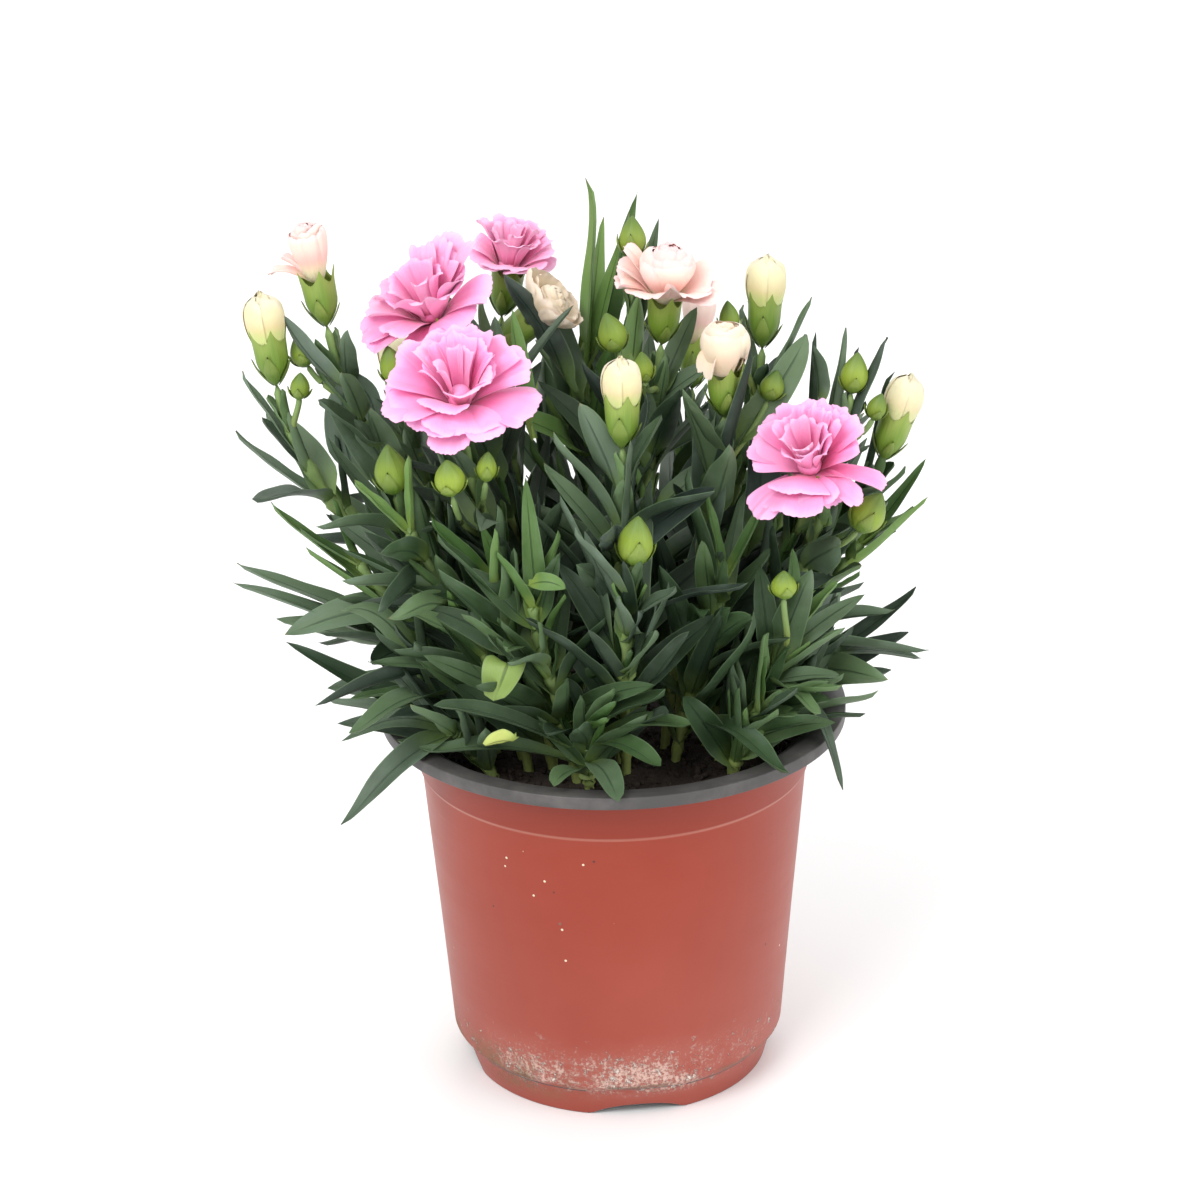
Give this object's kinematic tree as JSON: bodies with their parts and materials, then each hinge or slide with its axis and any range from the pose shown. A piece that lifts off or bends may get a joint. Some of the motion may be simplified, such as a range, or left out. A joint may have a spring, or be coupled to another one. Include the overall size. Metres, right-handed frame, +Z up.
{
  "type": "potted carnation",
  "caption": "Bushy potted carnation with narrow grey-green leaves, ruffled double flowers and closed buds in a round two-colour nursery pot.",
  "frame": {"origin": "middle of the pot's base, on the surface that it stands on", "axes": "+Z up the plant, +X to the right and -Y towards the viewer of the picture"},
  "size_m": [0.234, 0.2092, 0.309],
  "materials": {
    "pot": "thin moulded plastic, terracotta red outside, near-black lip and inside, chalky crust at the foot",
    "soil": "damp dark crumbly peat",
    "leaves": "smooth waxy blue-green leaf with a pale bloom",
    "young_leaves": "smooth fresh yellow-green leaf",
    "pink_petals": "soft matt ruffled petal, deeper pink at the folds",
    "mauve_petals": "soft matt ruffled petal",
    "blush_petals": "soft matt pale petal",
    "cream_petals": "soft matt furled petal, greenish at its root"
  },
  "bodies": {
    "root": {"petals_back_left_bud": "cream_petals", "petals_back_pink": "mauve_petals", "petals_back_right_blush": "blush_petals", "petals_centre_cream": "cream_petals", "petals_edge_cream": "cream_petals", "petals_front_pink": "pink_petals", "petals_left_blush": "blush_petals", "petals_left_cream": "cream_petals", "petals_left_pink": "pink_petals", "petals_middle_cream": "cream_petals", "petals_right_cream": "cream_petals", "petals_right_pink": "pink_petals", "petals_top_blush": "blush_petals", "petals_top_cream": "cream_petals", "pot": "pot", "soil": "soil", "stem_back_bud": "leaves", "stem_back_left_bud": "leaves", "stem_back_left_shoot": "leaves", "stem_back_middle_bud": "leaves", "stem_back_pink": "leaves", "stem_back_right_blush": "leaves", "stem_back_right_bud": "leaves", "stem_back_right_shoot": "leaves", "stem_back_shoot": "leaves", "stem_centre_cream": "leaves", "stem_centre_shoot": "young_leaves", "stem_edge_cream": "leaves", "stem_front_bud": "leaves", "stem_front_left_bud": "leaves", "stem_front_left_shoot": "young_leaves", "stem_front_pink": "leaves", "stem_front_right_shoot": "young_leaves", "stem_left_blush": "leaves", "stem_left_cream": "leaves", "stem_left_front_shoot": "leaves", "stem_left_low_shoot": "leaves", "stem_left_pink": "leaves", "stem_left_shoot": "leaves", "stem_left_young_shoot": "young_leaves", "stem_middle_cream": "leaves", "stem_right_bud": "leaves", "stem_right_cream": "leaves", "stem_right_low_shoot": "leaves", "stem_right_pink": "leaves", "stem_right_rim_shoot": "young_leaves", "stem_right_side_shoot": "leaves", "stem_right_upper_shoot": "young_leaves", "stem_right_young_shoot": "young_leaves", "stem_rim_shoot": "leaves", "stem_rosette": "young_leaves", "stem_top_blush": "leaves", "stem_top_cream": "leaves", "stem_top_shoot": "leaves", "stem_upright_shoot": "young_leaves", "stem_young_shoot": "young_leaves"}
  },
  "joints": []
}
